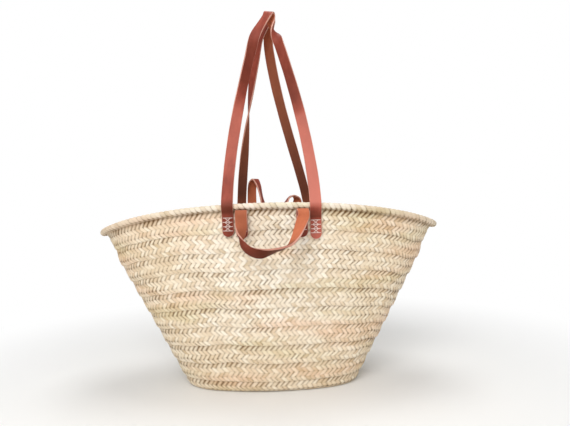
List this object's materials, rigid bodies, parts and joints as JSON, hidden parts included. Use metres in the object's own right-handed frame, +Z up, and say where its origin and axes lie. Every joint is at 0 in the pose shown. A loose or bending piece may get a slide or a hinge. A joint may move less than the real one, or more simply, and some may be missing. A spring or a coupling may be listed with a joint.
{
  "type": "beach basket",
  "caption": "Wide oval beach basket of sewn palm-leaf plait with a whipped rope rim, long leather shoulder handles and short leather hand handles.",
  "frame": {"origin": "middle of the base underside, on the surface the basket stands on", "axes": "+Z up out of the mouth; X along the mouth's length; the front, with the hanging short handle, faces -Y"},
  "size_m": [0.5948, 0.2868, 0.651],
  "materials": {
    "palm_leaf": "matt plaited palm leaf, cream to pale green and pink",
    "palm_cord": "matt twisted palm cord, olive brown",
    "leather": "vegetable-tanned strap, smooth reddish brown outside and matt tan inside",
    "thread": "waxed thread, off-white"
  },
  "bodies": {
    "basket": {"base_middle_row": "palm_leaf", "base_outer_row": "palm_leaf", "wall_row_01": "palm_leaf", "wall_row_02": "palm_leaf", "wall_row_03": "palm_leaf", "wall_row_04": "palm_leaf", "wall_row_05": "palm_leaf", "wall_row_06": "palm_leaf", "wall_row_07": "palm_leaf", "wall_row_08": "palm_leaf", "wall_row_09": "palm_leaf", "wall_row_10": "palm_leaf", "rim_whipping": "palm_leaf", "base_seam_cord_01": "palm_cord", "base_seam_cord_02": "palm_cord", "wall_seam_cord_01": "palm_cord", "wall_seam_cord_02": "palm_cord", "wall_seam_cord_03": "palm_cord", "wall_seam_cord_04": "palm_cord", "wall_seam_cord_05": "palm_cord", "wall_seam_cord_06": "palm_cord", "wall_seam_cord_07": "palm_cord", "wall_seam_cord_08": "palm_cord", "wall_seam_cord_09": "palm_cord", "rim_core": "palm_cord", "front_long_left_end": "leather", "front_long_right_end": "leather", "front_short_left_end": "leather", "front_short_right_end": "leather", "back_long_left_end": "leather", "back_long_right_end": "leather", "back_short_left_end": "leather", "back_short_right_end": "leather", "front_long_left_stitches": "thread", "front_long_right_stitches": "thread", "front_short_left_stitches": "thread", "front_short_right_stitches": "thread", "back_long_left_stitches": "thread", "back_long_right_stitches": "thread", "back_short_left_stitches": "thread", "back_short_right_stitches": "thread"},
    "front_long_handle": {"front_long_handle": "leather"},
    "front_short_handle": {"front_short_handle": "leather"},
    "back_long_handle": {"back_long_handle": "leather"},
    "back_short_handle": {"back_short_handle": "leather"}
  },
  "joints": [
    {"name": "front_long_swing", "type": "hinge", "parent": "basket", "child": "front_long_handle", "pos_m": [0, -0.11284, 0.29099], "axis": [1, 0, 0], "range_deg": [0, 135]},
    {"name": "front_short_swing", "type": "hinge", "parent": "basket", "child": "front_short_handle", "pos_m": [0, -0.12507, 0.28925], "axis": [-1, 0, 0], "range_deg": [0, 175]},
    {"name": "back_long_swing", "type": "hinge", "parent": "basket", "child": "back_long_handle", "pos_m": [0, 0.11284, 0.29098], "axis": [-1, 0, 0], "range_deg": [0, 135]},
    {"name": "back_short_swing", "type": "hinge", "parent": "basket", "child": "back_short_handle", "pos_m": [0, 0.1137, 0.29099], "axis": [-1, 0, 0], "range_deg": [0, 130]}
  ]
}
